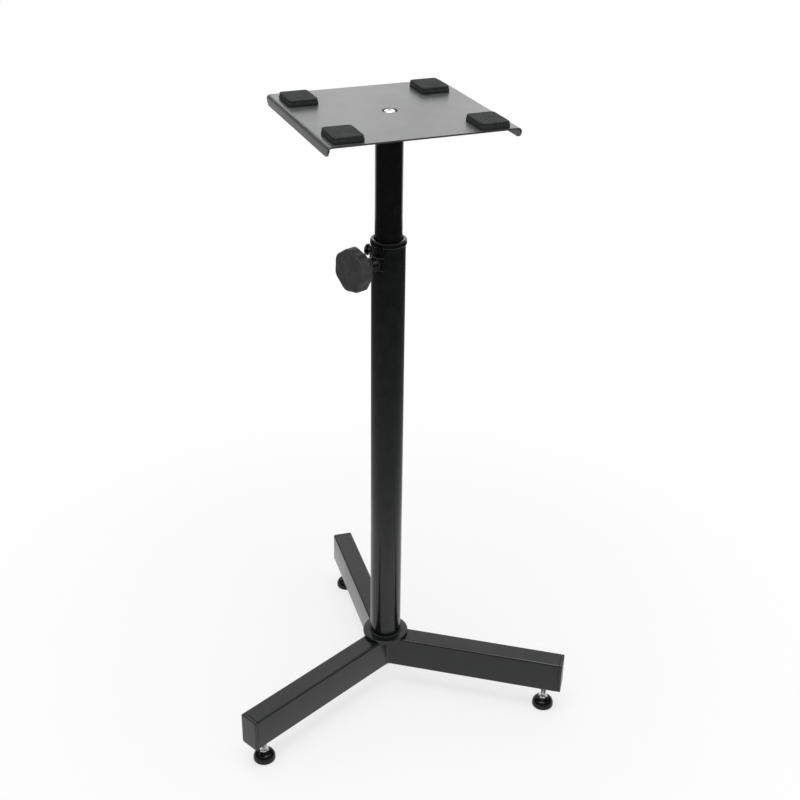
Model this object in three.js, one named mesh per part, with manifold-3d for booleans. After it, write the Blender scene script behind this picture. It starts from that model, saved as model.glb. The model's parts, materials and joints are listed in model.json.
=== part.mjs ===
// Speaker stand: a three-legged base, a telescoping column with a clamp knob, and a platform.
// Millimetres, +Z up. The floor is z = 0 and the origin is the centre of the base's footprint.
// One leg points to +Y, and the camera of the photograph stood in front, towards -Y.

import * as THREE from "three";
import { mergeVertices } from "three/addons/utils/BufferGeometryUtils.js";
import Module from "manifold-3d";

const wasm = await Module();
wasm.setup();

// Fits and counts shared by the whole stand
const fitGap = 0.3;
const overrun = 6;
const degree = Math.PI / 180;
const roundSides = 36;
const smallSides = 20;
const footSides = 26;
const hexSides = 6;
const arcSteps = 3;

// Legs: rectangular steel tube, mitred together on the column's axis
const legCount = 3;
const rearLegAzimuth = 90;
const legWidth = 30;
const legHeight = 50;
const legWall = 1.5;
const legCornerRadius = 3;
const legReach = 271;
const legClearance = 39.2;

// Plastic end caps of the legs
const capLip = 4.5;
const capRound = 1.2;
const capPlugDepth = 13;
const capWall = 2;
const capRibWidth = 2;

// Levelling feet: a ball-ended stud in a domed pad, screwed into an insert in the leg
const footCapGap = 1.5;
const footRadius = 15.8;
const footHeight = 14;
const footRimHeight = 4.2;
const footSoleInset = 1.4;
const footSoleHeight = 1.6;
const footNeckRadius = 6.6;
const ballRadius = 5;
const ballHeight = 8;
const studRadius = 3.8;
const studChamfer = 1;
const studHexAcross = 12;
const studHexHeight = 4;
const studConeHeight = 3;
const studSpare = 8;
const insertBarrelRadius = 5.5;
const insertHeight = 9;
const insertFlangeRadius = 7.5;
const insertFlangeThickness = 1;
const insertCrimpRadius = 7;
const insertCrimpHeight = 2.5;

// Hub: the flange under the column, and the bolt that draws the column down onto the legs
const flangeRadius = 33.4;
const flangeThickness = 5;
const flangeRound = 1.2;
const hubBoltRadius = 5;
const hubBoltHeadAcross = 17;
const hubBoltHeadHeight = 6.4;
const hubWasherRadius = 15;
const hubWasherThickness = 2.5;
const columnPlugHeight = 14;

// Column: the fixed outer tube
const columnRadius = 22.4;
const columnWall = 1.5;
const columnLength = 618.2;

// Guide bush in the mouth of the column
const bushLength = 45;
const rimOverhang = 1.5;
const rimHeight = 8.6;
const rimRound = 2.6;
const rimFunnel = 1.4;
const rimFunnelDepth = 5;

// Mast: the sliding inner tube, and the guide ring at its foot
const mastRadius = 17.9;
const mastWall = 1.5;
const mastLength = 570;
const mastExposed = 162.5;
const mastPlugHeight = 12;
const guideRingHeight = 25;
const guideRingLip = 2;
const guideRingLipWidth = 3;

// Clamp: saddle and boss welded to the column, screw, knob and pressure shoe
const clampAzimuth = -154.4;
const clampDrop = 20.4;
const saddleHalfAngle = 42;
const saddleHeight = 16;
const saddleThickness = 1.8;
const bossRadius = 9;
const bossReach = 33;
const bossChamfer = 1;
const clampScrewRadius = 3.8;
const clampScrewReach = 60;
const shoeRadius = 4.5;
const shoeThickness = 2.5;

// Lobed knob
const knobFaceReach = 67;
const knobRadius = 29;
const knobStandoff = 1.2;
const knobRimWidth = 15;
const knobHubRadius = 10.5;
const knobLobes = 7;
const knobTurn = 47.6;
const knobScallop = 1.8;
const knobFaceChamfer = 2.6;
const knobFaceDish = 0.8;
const knobDishShare = 0.72;
const knobStepsPerLobe = 8;

// Steadying screw beside the clamp, in a small boss of its own
const steadyAzimuth = -218;
const steadyDrop = 12;
const steadyBossRadius = 6;
const steadyBossReach = 27.4;
const steadyScrewRadius = 2.6;
const steadyHeadRadius = 7.6;
const steadyHeadHeight = 5;
const steadySocketAcross = 5;
const steadySocketDepth = 2.5;

// Platform: a sheet with its two side edges folded down, dished for the bolt
const platformTurn = 5.4;
const platformWidth = 241;
const platformDepth = 240;
const sheetThickness = 2;
const foldRadius = 5;
const foldDepth = 12.7;
const foldCornerRadius = 9;
const dishRadius = 10;
const dishFloorRadius = 8.6;
const dishDepth = 3;
const dishLap = 1.5;
const platformBoltRadius = 3.9;
const platformBoltLength = 22;
const platformBoltHeadRadius = 7.3;
const platformBoltHeadHeight = 3.6;
const platformBoltEdge = 1;
const platformBoltSocketAcross = 5;
const platformBoltSocketDepth = 2;

// Rubber pads on the platform, with their centres as shares of its width and depth
const padWidth = 38.3;
const padDepth = 48.3;
const padThickness = 8;
const padCornerRadius = 4.5;
const padStep = 0.7;
const padStepHeight = 3.8;
const padRound = 1.1;
const padPlaceShares = {
  rear_left: [-0.385, 0.307],
  rear_right: [0.351, 0.32],
  front_left: [-0.384, -0.38],
  front_right: [0.364, -0.394],
};

// Heights that follow from the sizes above
const legTop = legClearance + legHeight;
const flangeBottom = legTop + fitGap;
const flangeTop = flangeBottom + flangeThickness;
const columnBottom = flangeTop + fitGap;
const columnTop = columnBottom + columnLength;
const rimBottom = columnTop + fitGap;
const rimTop = rimBottom + rimHeight;
const platformTop = rimTop + mastExposed + fitGap + sheetThickness;
const mastTop = platformTop - sheetThickness - fitGap;
const mastBottom = mastTop - mastLength;
const clampHeight = columnTop - clampDrop;
const steadyHeight = columnTop - steadyDrop;

// Each foot stands as far out as the plug of the end cap allows
const footReach = legReach - capLip - capPlugDepth - footCapGap - insertCrimpRadius;

// The axis stands off the footprint's centre, because one leg points back and two forward
const legStep = 360 / legCount;
const rearExtent = legReach;
const frontAngle = (legStep / 2) * degree;
const frontExtent =
  (legReach - capRound) * Math.cos(frontAngle) + (legWidth / 2 - capRound) * Math.sin(frontAngle) + capRound;
const axisOffset = (frontExtent - rearExtent) / 2;

// Materials

const finishes = {
  powderCoat: { color: 0x1a1b1c, roughness: 0.32, metalness: 0.0 },
  glossCoat: { color: 0x121315, roughness: 0.2, metalness: 0.0 },
  plastic: { color: 0x232425, roughness: 0.55, metalness: 0.0 },
  glossPlastic: { color: 0x0c0c0d, roughness: 0.18, metalness: 0.0 },
  rubber: { color: 0x2a2b2b, roughness: 0.85, metalness: 0.0 },
  zinc: { color: 0xc9ccd0, roughness: 0.3, metalness: 1.0 },
  brass: { color: 0xb08d4a, roughness: 0.4, metalness: 1.0 },
};

// Solids and geometry

function toSolid(source) {
  const bare = source.clone();
  bare.deleteAttribute("normal");
  bare.deleteAttribute("uv");
  const merged = mergeVertices(bare);
  const corners = merged.index.array;
  const triangles = [];
  for (let i = 0; i < corners.length; i += 3) {
    const [a, b, c] = corners.slice(i, i + 3);
    if (a !== b && b !== c && c !== a) {
      triangles.push(a, b, c);
    }
  }
  return new wasm.Manifold(
    new wasm.Mesh({
      numProp: 3,
      vertProperties: merged.attributes.position.array,
      triVerts: new Uint32Array(triangles),
    }),
  );
}

function toGeometry(solid) {
  const mesh = solid.getMesh();
  const geometry = new THREE.BufferGeometry();
  geometry.setAttribute("position", new THREE.BufferAttribute(mesh.vertProperties.slice(), 3));
  geometry.setIndex(new THREE.BufferAttribute(mesh.triVerts.slice(), 1));
  geometry.computeVertexNormals();
  return geometry;
}

// A profile of [radius, height] points, anticlockwise, turned about +Z
function turned(profile, sides = roundSides) {
  const points = profile.map(([radius, height]) => new THREE.Vector2(radius, height));
  return new THREE.LatheGeometry(points, sides).rotateX(Math.PI / 2);
}

// The same, turned about +X: the heights run outwards along the axis of a radial fitting
function turnedAlongX(profile, sides = smallSides) {
  return turned(profile, sides).rotateY(Math.PI / 2);
}

function ringProfile(inner, outer, low, high) {
  return [[inner, low], [outer, low], [outer, high], [inner, high], [inner, low]];
}

function rodProfile(radius, low, high, chamfer = 0) {
  return [
    [0, low],
    [radius - chamfer, low],
    [radius, low + chamfer],
    [radius, high - chamfer],
    [radius - chamfer, high],
    [0, high],
  ];
}

// Points of an arc about a centre, from one angle to another in degrees
function arcPoints(centreRadius, centreHeight, radius, from, to, steps = arcSteps) {
  const points = [];
  for (let i = 0; i <= steps; i += 1) {
    const angle = (from + ((to - from) * i) / steps) * degree;
    points.push([centreRadius + radius * Math.cos(angle), centreHeight + radius * Math.sin(angle)]);
  }
  return points;
}

// The circle round a hexagon of a given size across its flats
function hexRadius(across) {
  return across / 2 / Math.cos(Math.PI / hexSides);
}

function hexPrism(across, low, high) {
  return turned(rodProfile(hexRadius(across), low, high), hexSides);
}

// The outline of a rounded rectangle as points, anticlockwise, drawn in by an inset
function roundedOutline(width, height, radius, inset = 0) {
  const corner = radius - inset;
  const centres = [
    [width / 2 - radius, height / 2 - radius],
    [radius - width / 2, height / 2 - radius],
    [radius - width / 2, radius - height / 2],
    [width / 2 - radius, radius - height / 2],
  ];
  return centres.flatMap(([x, y], quarter) => arcPoints(x, y, corner, quarter * 90, quarter * 90 + 90));
}

function outlineShape(outline) {
  return new THREE.Shape(outline.map(([x, y]) => new THREE.Vector2(x, y)));
}

function prism(shape, low, high) {
  const options = { depth: high - low, bevelEnabled: false, curveSegments: arcSteps * 2 };
  return new THREE.ExtrudeGeometry(shape, options).translate(0, 0, low);
}

// A closed skin over rings of points that all have the same count, bottom ring first
function loft(rings) {
  const count = rings[0].length;
  const positions = [];
  const indices = [];
  rings.forEach((ring) => ring.forEach(([x, y, z]) => positions.push(x, y, z)));
  for (let level = 0; level + 1 < rings.length; level += 1) {
    for (let i = 0; i < count; i += 1) {
      const here = level * count + i;
      const next = level * count + ((i + 1) % count);
      indices.push(here, next, next + count, here, next + count, here + count);
    }
  }
  [0, rings.length - 1].forEach((level) => {
    const centre = positions.length / 3;
    const sum = rings[level].reduce(([a, b, c], [x, y, z]) => [a + x, b + y, c + z], [0, 0, 0]);
    positions.push(...sum.map((value) => value / count));
    for (let i = 0; i < count; i += 1) {
      const here = level * count + i;
      const next = level * count + ((i + 1) % count);
      indices.push(...(level === 0 ? [centre, next, here] : [centre, here, next]));
    }
  });
  const geometry = new THREE.BufferGeometry();
  geometry.setAttribute("position", new THREE.Float32BufferAttribute(positions, 3));
  geometry.setIndex(indices);
  return geometry;
}

function piece(name, geometry, finish) {
  const made = new THREE.Mesh(geometry, new THREE.MeshStandardMaterial(finishes[finish]));
  made.name = name;
  return made;
}

// Legs, in a frame with +X out along the leg and z = 0 on its underside

function legTube() {
  const outer = roundedOutline(legHeight, legWidth, legCornerRadius);
  const bore = roundedOutline(legHeight, legWidth, legCornerRadius, legWall);
  const section = outlineShape(outer);
  section.holes.push(new THREE.Path(bore.reverse().map(([x, y]) => new THREE.Vector2(x, y))));
  const tube = prism(section, 0, legReach - capLip - fitGap)
    .rotateY(Math.PI / 2)
    .translate(0, 0, legHeight / 2);

  const mitre = Math.PI / legCount;
  const apex = fitGap / 2 / Math.sin(mitre);
  const far = legReach + overrun;
  const spread = (far - apex) * Math.tan(mitre);
  const wedgeShape = outlineShape([[apex, 0], [far, -spread], [far, spread]]);
  const wedge = prism(wedgeShape, -overrun, legHeight + overrun);
  const boltHole = turned(rodProfile(hubBoltRadius + fitGap, -overrun, legHeight + overrun), smallSides);
  const footHole = turned(rodProfile(insertBarrelRadius + fitGap, -overrun, legWall + overrun), smallSides);
  footHole.translate(footReach, 0, 0);
  return toGeometry(
    toSolid(tube).intersect(toSolid(wedge)).subtract(toSolid(boltHole)).subtract(toSolid(footHole)),
  );
}

// The end cap: a lip as large as the tube, and a hollow ribbed plug inside it
function endCap() {
  const lipStart = legReach - capLip;
  const steps = arcPoints(legReach - capRound, 0, capRound, 90, 0, arcSteps - 1);
  const rings = [[lipStart, 0], ...steps.map(([x, rise]) => [x, capRound - rise])];
  const lip = loft(
    rings.map(([x, inset]) =>
      roundedOutline(legWidth, legHeight, legCornerRadius, inset).map(([y, z]) => [x, y, z + legHeight / 2]),
    ),
  );

  const plugInset = legWall + fitGap;
  const plugOuter = roundedOutline(legHeight, legWidth, legCornerRadius, plugInset);
  const plugWidth = legWidth - (plugInset + capWall) * 2;
  const plugHeight = legHeight - (plugInset + capWall) * 2;
  const pocket = outlineShape(roundedOutline(plugHeight, plugWidth, capWall / 2));
  const start = lipStart - capPlugDepth;
  const along = (geometry) => geometry.rotateY(Math.PI / 2).translate(0, 0, legHeight / 2);
  const plug = along(prism(outlineShape(plugOuter), start, lipStart + capRound));
  const hollow = along(prism(pocket, start - overrun, lipStart));
  const ribShape = outlineShape(roundedOutline(plugHeight + capWall, capRibWidth, capRibWidth / 4));
  const rib = along(prism(ribShape, start + capWall, lipStart + capRound));
  return toGeometry(toSolid(plug).subtract(toSolid(hollow)).add(toSolid(rib)).add(toSolid(lip)));
}

// Feet, in a frame with z = 0 on the floor under the stud

function footPad() {
  const socketRadius = ballRadius + fitGap;
  const mouth = studRadius + fitGap * 2;
  const mouthAngle = Math.acos(mouth / socketRadius) / degree;
  const domeRadius = footRadius - footNeckRadius;
  const domeRise = footHeight - footRimHeight;
  const dome = arcPoints(0, 0, 1, 0, 90, arcSteps + 1).map(([across, rise]) => [
    footNeckRadius + domeRadius * across,
    footRimHeight + domeRise * rise,
  ]);
  const socket = arcPoints(0, ballHeight, socketRadius, mouthAngle, -90, arcSteps * 2);
  return toGeometry(
    toSolid(
      turned([
        [0, 0],
        [footRadius - footSoleInset, 0],
        [footRadius, footSoleHeight],
        ...dome,
        [mouth, footHeight],
        ...socket.slice(0, -1),
        [0, ballHeight - socketRadius],
      ], footSides),
    ),
  );
}

const hexBottom = footHeight + fitGap;
const hexTop = hexBottom + studHexHeight;
const studTop = legClearance + legWall + insertHeight + studSpare;

function footStud() {
  const neckAngle = Math.acos(studRadius / ballRadius) / degree;
  const ball = arcPoints(0, ballHeight, ballRadius, -90, neckAngle, arcSteps * 2);
  const shaft = turned([
    [0, ballHeight - ballRadius],
    ...ball.slice(1),
    [studRadius, studTop - studChamfer],
    [studRadius - studChamfer, studTop],
    [0, studTop],
  ], smallSides);
  const cone = turned([
    [0, hexBottom],
    [studHexAcross / 2, hexBottom],
    [studHexAcross / 2, hexTop],
    [studRadius, hexTop + studConeHeight],
    [0, hexTop + studConeHeight],
  ], smallSides);
  const hex = hexPrism(studHexAcross, hexBottom, hexTop);
  return toGeometry(toSolid(shaft).add(toSolid(cone)).add(toSolid(hex)));
}

// The threaded insert: a flange under the leg, and a barrel crimped above its lower wall
function footInsert() {
  const bore = studRadius + fitGap;
  const flangeTopFace = legClearance - fitGap;
  const crimpBottom = legClearance + legWall + fitGap;
  return toGeometry(
    toSolid(
      turned([
        [bore, flangeTopFace - insertFlangeThickness],
        [insertFlangeRadius, flangeTopFace - insertFlangeThickness],
        [insertFlangeRadius, flangeTopFace],
        [insertBarrelRadius, flangeTopFace],
        [insertBarrelRadius, crimpBottom],
        [insertCrimpRadius, crimpBottom],
        [insertCrimpRadius, crimpBottom + insertCrimpHeight / 2],
        [insertBarrelRadius, crimpBottom + insertCrimpHeight],
        [insertBarrelRadius, legClearance + legWall + insertHeight],
        [bore, legClearance + legWall + insertHeight],
        [bore, flangeTopFace - insertFlangeThickness],
      ], smallSides),
    ),
  );
}

// Hub and column, in the column's frame with z = 0 on the floor

function baseFlange() {
  const edge = arcPoints(flangeRadius - flangeRound, flangeTop - flangeRound, flangeRound, 0, 90);
  const bore = hubBoltRadius + fitGap;
  const profile = [
    [bore, flangeBottom],
    [flangeRadius, flangeBottom],
    ...edge,
    [bore, flangeTop],
    [bore, flangeBottom],
  ];
  return toGeometry(toSolid(turned(profile)));
}

function hubBolt() {
  const seat = legClearance - fitGap - hubWasherThickness - fitGap;
  const shaftTop = columnBottom + columnPlugHeight + hubBoltRadius / 2;
  const shaft = turned(rodProfile(hubBoltRadius, seat - fitGap, shaftTop), smallSides);
  const head = hexPrism(hubBoltHeadAcross, seat - hubBoltHeadHeight, seat);
  return toGeometry(toSolid(shaft).add(toSolid(head)));
}

function hubWasher() {
  const top = legClearance - fitGap;
  const profile = ringProfile(hubBoltRadius + fitGap, hubWasherRadius, top - hubWasherThickness, top);
  return toGeometry(toSolid(turned(profile)));
}

function columnPlug() {
  const outer = columnRadius - columnWall - fitGap;
  const top = columnBottom + columnPlugHeight;
  return toGeometry(toSolid(turned(ringProfile(hubBoltRadius + fitGap, outer, columnBottom, top))));
}

// Frames of the two radial fittings: +X points out from the column's axis
const clampFrame = new THREE.Matrix4().makeRotationZ(clampAzimuth * degree).setPosition(0, 0, clampHeight);
const steadyFrame = new THREE.Matrix4().makeRotationZ(steadyAzimuth * degree).setPosition(0, 0, steadyHeight);

function radialHole(radius, frame) {
  return toSolid(turnedAlongX(rodProfile(radius, 0, columnRadius + overrun)).applyMatrix4(frame));
}

const clampHole = radialHole(shoeRadius + fitGap, clampFrame);
const steadyHole = radialHole(steadyScrewRadius + fitGap, steadyFrame);

function columnTube() {
  const tube = turned(ringProfile(columnRadius - columnWall, columnRadius, columnBottom, columnTop));
  return toGeometry(toSolid(tube).subtract(clampHole).subtract(steadyHole));
}

// The bush: a sleeve between the two tubes, under a rounded rim that caps the column
function guideBush() {
  const bore = mastRadius + fitGap;
  const sleeve = columnRadius - columnWall - fitGap;
  const rimRadius = columnRadius + rimOverhang;
  const bush = turned([
    [bore, rimBottom - bushLength],
    [sleeve, rimBottom - bushLength],
    [sleeve, rimBottom],
    ...arcPoints(rimRadius - rimRound, rimBottom + rimRound, rimRound, -90, 0),
    ...arcPoints(rimRadius - rimRound, rimTop - rimRound, rimRound, 0, 90),
    [bore + rimFunnel, rimTop],
    [bore, rimTop - rimFunnelDepth],
    [bore, rimBottom - bushLength],
  ]);
  return toGeometry(toSolid(bush).subtract(clampHole).subtract(steadyHole));
}

// Clamp pieces, in the clamp's frame

function clampSaddle() {
  const inner = columnRadius + fitGap;
  const outer = inner + saddleThickness;
  const span = saddleHalfAngle * degree;
  const shape = new THREE.Shape();
  shape.absarc(0, 0, outer, -span, span, false);
  shape.absarc(0, 0, inner, span, -span, true);
  const hole = turnedAlongX(rodProfile(shoeRadius + fitGap, 0, outer + overrun));
  return toGeometry(toSolid(prism(shape, -saddleHeight / 2, saddleHeight / 2)).subtract(toSolid(hole)));
}

// A round boss whose inner end is hollowed to sit on a round seat about the column's axis
function seatedBoss(radius, reach, seatRadius, boreRadius) {
  const body = turnedAlongX([
    [0, seatRadius / 2],
    [radius, seatRadius / 2],
    [radius, reach - bossChamfer],
    [radius - bossChamfer, reach],
    [0, reach],
  ]);
  const seat = turned(rodProfile(seatRadius, -radius - overrun, radius + overrun));
  const bore = turnedAlongX(rodProfile(boreRadius, 0, reach + overrun));
  return toGeometry(toSolid(body).subtract(toSolid(seat)).subtract(toSolid(bore)));
}

function clampShoe() {
  const inner = mastRadius + fitGap;
  const body = turnedAlongX(rodProfile(shoeRadius, mastRadius / 2, inner + shoeThickness));
  const seat = turned(rodProfile(inner, -shoeRadius - overrun, shoeRadius + overrun));
  return toGeometry(toSolid(body).subtract(toSolid(seat)));
}

function clampScrew() {
  const start = mastRadius + fitGap + shoeThickness + fitGap;
  const chamfer = clampScrewRadius / 4;
  return toGeometry(toSolid(turnedAlongX(rodProfile(clampScrewRadius, start, clampScrewReach, chamfer))));
}

// The knob: scalloped lobes along its rim, drawn in to a round hub at the back
function knob() {
  const back = bossReach + knobStandoff;
  const rimBack = knobFaceReach - knobRimWidth;
  const neck = rimBack - back;
  const steps = knobLobes * knobStepsPerLobe;
  const ring = (x, radius, scallop) => {
    const points = [];
    for (let i = 0; i < steps; i += 1) {
      const angle = (i / steps) * Math.PI * 2;
      const wave = (1 - Math.cos(angle * knobLobes)) / 2;
      const reach = radius - scallop * wave;
      const place = angle + knobTurn * degree;
      points.push([x, reach * Math.cos(place), reach * Math.sin(place)]);
    }
    return points;
  };
  const flare = knobRadius - knobHubRadius;
  const rings = [ring(back, knobHubRadius, 0)];
  for (let i = 1; i <= arcSteps; i += 1) {
    const share = i / arcSteps;
    const rise = 1 - Math.cos((share * Math.PI) / 2);
    rings.push(ring(back + neck * share, knobHubRadius + flare * rise, knobScallop * share));
  }
  rings.push(ring(knobFaceReach - knobFaceChamfer, knobRadius, knobScallop));
  rings.push(ring(knobFaceReach, knobRadius - knobFaceChamfer, knobScallop));
  rings.push(ring(knobFaceReach - knobFaceDish, knobRadius * knobDishShare, 0));
  const bore = turnedAlongX(rodProfile(clampScrewRadius + fitGap, 0, clampScrewReach + fitGap));
  return toGeometry(toSolid(loft(rings)).subtract(toSolid(bore)));
}

// Steadying screw, in its own frame: a domed socket head on a shaft that stops short of the mast
function steadyScrew() {
  const headStart = steadyBossReach + fitGap;
  const headEnd = headStart + steadyHeadHeight;
  const shaftStart = mastRadius + fitGap * 2;
  const shaft = turnedAlongX(rodProfile(steadyScrewRadius, shaftStart, headStart + fitGap));
  const dome = arcPoints(0, 0, 1, 0, 90).map(([across, rise]) => [
    steadyHeadRadius * across,
    headStart + steadyHeadHeight * (1 / 2 + rise / 2),
  ]);
  const head = turnedAlongX([
    [0, headStart],
    [steadyHeadRadius, headStart],
    ...dome.slice(0, -1),
    [0, headEnd],
  ]);
  const socket = hexPrism(steadySocketAcross, headEnd - steadySocketDepth, headEnd + overrun);
  socket.rotateY(Math.PI / 2);
  return toGeometry(toSolid(shaft).add(toSolid(head)).subtract(toSolid(socket)));
}

// Mast pieces, in the column's frame

function mastTube() {
  return toGeometry(toSolid(turned(ringProfile(mastRadius - mastWall, mastRadius, mastBottom, mastTop))));
}

function guideRing() {
  const outer = columnRadius - columnWall - fitGap;
  const bore = mastRadius + fitGap;
  const lipTop = mastBottom - fitGap;
  const ring = turned([
    [bore - guideRingLipWidth, lipTop - guideRingLip],
    [outer, lipTop - guideRingLip],
    [outer, lipTop + guideRingHeight],
    [bore, lipTop + guideRingHeight],
    [bore, lipTop],
    [bore - guideRingLipWidth, lipTop],
    [bore - guideRingLipWidth, lipTop - guideRingLip],
  ]);
  return toGeometry(toSolid(ring));
}

function mastPlug() {
  const outer = mastRadius - mastWall - fitGap;
  const top = platformTop - dishDepth - sheetThickness - fitGap;
  const profile = ringProfile(platformBoltRadius + fitGap, outer, top - mastPlugHeight, top);
  return toGeometry(toSolid(turned(profile)));
}

// Platform pieces, in a frame with z = 0 on the top of the sheet

// The section across the folds, followed anticlockwise from the outer foot of one fold
function platformSection() {
  const half = platformWidth / 2;
  const inner = foldRadius - sheetThickness;
  const right = Math.PI / 2;
  const shape = new THREE.Shape();
  shape.moveTo(half, -foldDepth);
  shape.absarc(half - foldRadius, -foldRadius, foldRadius, 0, right, false);
  shape.absarc(foldRadius - half, -foldRadius, foldRadius, right, right * 2, false);
  shape.lineTo(-half, -foldDepth);
  shape.lineTo(sheetThickness - half, -foldDepth);
  shape.absarc(foldRadius - half, -foldRadius, inner, right * 2, right, true);
  shape.absarc(half - foldRadius, -foldRadius, inner, right, 0, true);
  shape.lineTo(half - sheetThickness, -foldDepth);
  return shape;
}

// The sheet's outline seen from the side, with the lower corners of the folds rounded
function foldOutline() {
  const half = platformDepth / 2;
  const inset = half - foldCornerRadius;
  const rise = foldCornerRadius - foldDepth;
  const right = Math.PI / 2;
  const shape = new THREE.Shape();
  shape.moveTo(half, overrun);
  shape.lineTo(-half, overrun);
  shape.absarc(-inset, rise, foldCornerRadius, right * 2, right * 3, false);
  shape.absarc(inset, rise, foldCornerRadius, right * 3, right * 4, false);
  return shape;
}

function platformSheet() {
  const upright = (geometry) => geometry.rotateX(Math.PI / 2);
  const sheet = upright(prism(platformSection(), -platformDepth / 2, platformDepth / 2));
  const width = platformWidth / 2 + overrun;
  const limits = upright(prism(foldOutline(), -width, width)).rotateZ(Math.PI / 2);
  const opening = turned(rodProfile(dishRadius + dishLap / 2, -sheetThickness - overrun, overrun));
  const floor = -dishDepth;
  const under = floor - sheetThickness;
  const dish = turned([
    [platformBoltRadius + fitGap, under],
    [dishFloorRadius + sheetThickness, under],
    [dishRadius + dishLap, -sheetThickness],
    [dishRadius + dishLap, 0],
    [dishRadius, 0],
    [dishFloorRadius, floor],
    [platformBoltRadius + fitGap, floor],
    [platformBoltRadius + fitGap, under],
  ]);
  return toGeometry(
    toSolid(sheet).intersect(toSolid(limits)).subtract(toSolid(opening)).add(toSolid(dish)),
  );
}

function platformBolt() {
  const seat = fitGap - dishDepth;
  const crown = platformBoltHeadHeight - platformBoltEdge;
  const dome = arcPoints(0, 0, 1, 0, 90, arcSteps + 1).map(([across, rise]) => [
    platformBoltHeadRadius * across,
    seat + platformBoltEdge + crown * rise,
  ]);
  const bolt = turned([
    [0, seat - platformBoltLength],
    [platformBoltRadius, seat - platformBoltLength],
    [platformBoltRadius, seat],
    [platformBoltHeadRadius, seat],
    ...dome.slice(0, -1),
    [0, seat + platformBoltHeadHeight],
  ]);
  const top = seat + platformBoltHeadHeight;
  const socket = hexPrism(platformBoltSocketAcross, top - platformBoltSocketDepth, top + overrun);
  return toGeometry(toSolid(bolt).subtract(toSolid(socket)));
}

// A rubber pad: an oblong foot, a step round its sides, and a slightly smaller rounded top
function rubberPad() {
  const shoulder = padStepHeight + padStep;
  const crown = arcPoints(0, padThickness - padRound, padRound, 0, 90).map(([out, height]) => [
    padStep + padRound - out,
    height,
  ]);
  const rings = [[0, 0], [0, padStepHeight], [padStep, shoulder], ...crown];
  return toGeometry(
    toSolid(
      loft(
        rings.map(([inset, height]) =>
          roundedOutline(padWidth, padDepth, padCornerRadius, inset).map(([x, y]) => [x, y, height]),
        ),
      ),
    ),
  );
}

// Assembly

const stand = new THREE.Group();
stand.position.set(0, axisOffset, 0);

const legNames = ["rear", "front_left", "front_right"];
for (let i = 0; i < legCount; i += 1) {
  const side = legNames[i] ?? `extra_${i}`;
  const arm = new THREE.Group();
  arm.rotation.z = (rearLegAzimuth + legStep * i) * degree;
  const leg = piece(`leg_${side}`, legTube(), "powderCoat");
  const cap = piece(`end_cap_${side}`, endCap(), "plastic");
  leg.position.z = legClearance;
  cap.position.z = legClearance;
  const foot = new THREE.Group();
  foot.position.x = footReach;
  foot.add(
    piece(`foot_insert_${side}`, footInsert(), "zinc"),
    piece(`foot_stud_${side}`, footStud(), "zinc"),
    piece(`foot_pad_${side}`, footPad(), "glossPlastic"),
  );
  arm.add(leg, cap, foot);
  stand.add(arm);
}

stand.add(
  piece("hub_washer", hubWasher(), "zinc"),
  piece("hub_bolt", hubBolt(), "zinc"),
  piece("base_flange", baseFlange(), "powderCoat"),
  piece("column_plug", columnPlug(), "zinc"),
  piece("column_tube", columnTube(), "powderCoat"),
  piece("guide_bush", guideBush(), "glossPlastic"),
  piece("mast_guide_ring", guideRing(), "plastic"),
  piece("mast_tube", mastTube(), "glossCoat"),
  piece("mast_plug", mastPlug(), "zinc"),
);

const clamp = new THREE.Group();
clamp.applyMatrix4(clampFrame);
const bossSeat = columnRadius + fitGap + saddleThickness + fitGap;
clamp.add(
  piece("clamp_saddle", clampSaddle(), "powderCoat"),
  piece("clamp_boss", seatedBoss(bossRadius, bossReach, bossSeat, clampScrewRadius + fitGap), "powderCoat"),
  piece("clamp_shoe", clampShoe(), "brass"),
  piece("clamp_screw", clampScrew(), "zinc"),
  piece("clamp_knob", knob(), "plastic"),
);

const steady = new THREE.Group();
steady.applyMatrix4(steadyFrame);
steady.add(
  piece(
    "steady_boss",
    seatedBoss(steadyBossRadius, steadyBossReach, columnRadius + fitGap, steadyScrewRadius + fitGap),
    "powderCoat",
  ),
  piece("steady_screw", steadyScrew(), "glossCoat"),
);

const platform = new THREE.Group();
platform.position.z = platformTop;
platform.rotation.z = platformTurn * degree;
platform.add(piece("platform", platformSheet(), "glossCoat"), piece("platform_bolt", platformBolt(), "zinc"));
Object.entries(padPlaceShares).forEach(([side, [acrossShare, deepShare]]) => {
  const pad = piece(`rubber_pad_${side}`, rubberPad(), "rubber");
  pad.position.set(platformWidth * acrossShare, platformDepth * deepShare, fitGap);
  platform.add(pad);
});

stand.add(clamp, steady, platform);

const model = new THREE.Group();
model.add(stand);

export default model;
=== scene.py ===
import json
import math

import bmesh
import bpy
import numpy as np
from mathutils import Matrix, Vector

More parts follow.
